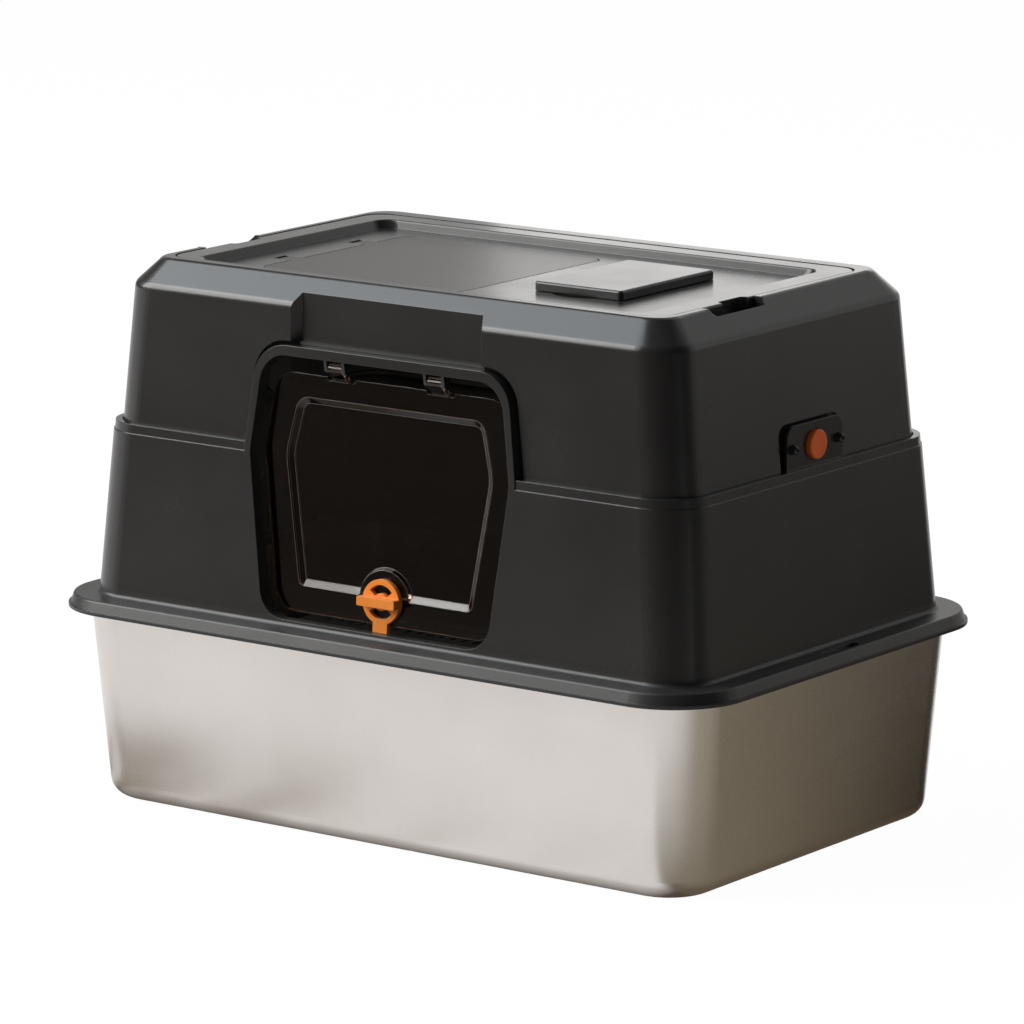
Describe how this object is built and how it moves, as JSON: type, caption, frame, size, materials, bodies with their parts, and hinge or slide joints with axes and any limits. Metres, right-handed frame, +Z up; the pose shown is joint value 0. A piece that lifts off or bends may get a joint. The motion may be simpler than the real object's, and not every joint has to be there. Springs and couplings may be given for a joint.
{
  "type": "enclosed cat litter box",
  "caption": "Enclosed cat litter box: a deep stainless steel pan under a black hood with a smoked swing flap, a dial lock, a hinged top lid with its own flap and a deodoriser tray.",
  "frame": {"origin": "on the ground under the middle of the flange", "axes": "+X to the right along the length seen from the doorway, the doorway faces -Y, +Z up"},
  "size_m": [0.617, 0.409, 0.4254],
  "materials": {
    "steel": "satin",
    "black_plastic": "satin",
    "smoked_plastic": "gloss",
    "orange_plastic": "satin",
    "pin_steel": "bright",
    "carbon_felt": "matte"
  },
  "bodies": {
    "pan": {"steel_pan": "steel"},
    "enclosure": {"lower_shell": "black_plastic", "hood": "black_plastic", "sieve_step": "black_plastic", "latch_housing_left": "black_plastic", "latch_housing_right": "black_plastic", "latch_spring_left": "pin_steel", "latch_spring_right": "pin_steel", "latch_screws": "pin_steel", "door_hinge_pin_left": "pin_steel", "door_hinge_pin_right": "pin_steel", "lid_hinge_pin_left": "pin_steel", "lid_hinge_pin_right": "pin_steel"},
    "front_flap": {"front_flap": "smoked_plastic"},
    "lock_dial": {"lock_dial": "orange_plastic", "lock_retainer": "black_plastic"},
    "top_lid": {"top_lid": "black_plastic", "deodoriser_box": "black_plastic", "carbon_pad": "carbon_felt", "top_flap_pin_front": "pin_steel", "top_flap_pin_rear": "pin_steel"},
    "top_flap": {"top_flap": "black_plastic"},
    "box_cover": {"box_cover": "black_plastic"},
    "latch_button_left": {"latch_button_left": "orange_plastic"},
    "latch_button_right": {"latch_button_right": "orange_plastic"}
  },
  "joints": [
    {"name": "enclosure_lift", "type": "slide", "parent": "pan", "child": "enclosure", "axis": [0, 0, 1], "range_m": [0, 0.2]},
    {"name": "front_flap_swing", "type": "hinge", "parent": "enclosure", "child": "front_flap", "pos_m": [0, -0.16076, 0.3603], "axis": [1, 0, 0], "range_deg": [0, 80]},
    {"name": "lock_dial_turn", "type": "hinge", "parent": "front_flap", "child": "lock_dial", "pos_m": [0, -0.16969, 0.1897], "axis": [0, -0.9983, 0.0582], "range_deg": [-90, 90]},
    {"name": "top_lid_swing", "type": "hinge", "parent": "enclosure", "child": "top_lid", "pos_m": [0, 0.11, 0.4198], "axis": [-1, 0, 0], "range_deg": [0, 100]},
    {"name": "top_flap_swing", "type": "hinge", "parent": "top_lid", "child": "top_flap", "pos_m": [-0.18, 0, 0.4145], "axis": [0, -1, 0], "range_deg": [0, 100]},
    {"name": "box_cover_lift", "type": "slide", "parent": "top_lid", "child": "box_cover", "axis": [0, 0, 1], "range_m": [0, 0.05]},
    {"name": "latch_button_left_press", "type": "slide", "parent": "enclosure", "child": "latch_button_left", "axis": [1, 0, 0], "range_m": [0, 0.005], "stiffness_N_per_m": 300, "deforming": ["latch_spring_left"]},
    {"name": "latch_button_right_press", "type": "slide", "parent": "enclosure", "child": "latch_button_right", "axis": [-1, 0, 0], "range_m": [0, 0.005], "stiffness_N_per_m": 300, "deforming": ["latch_spring_right"]}
  ]
}
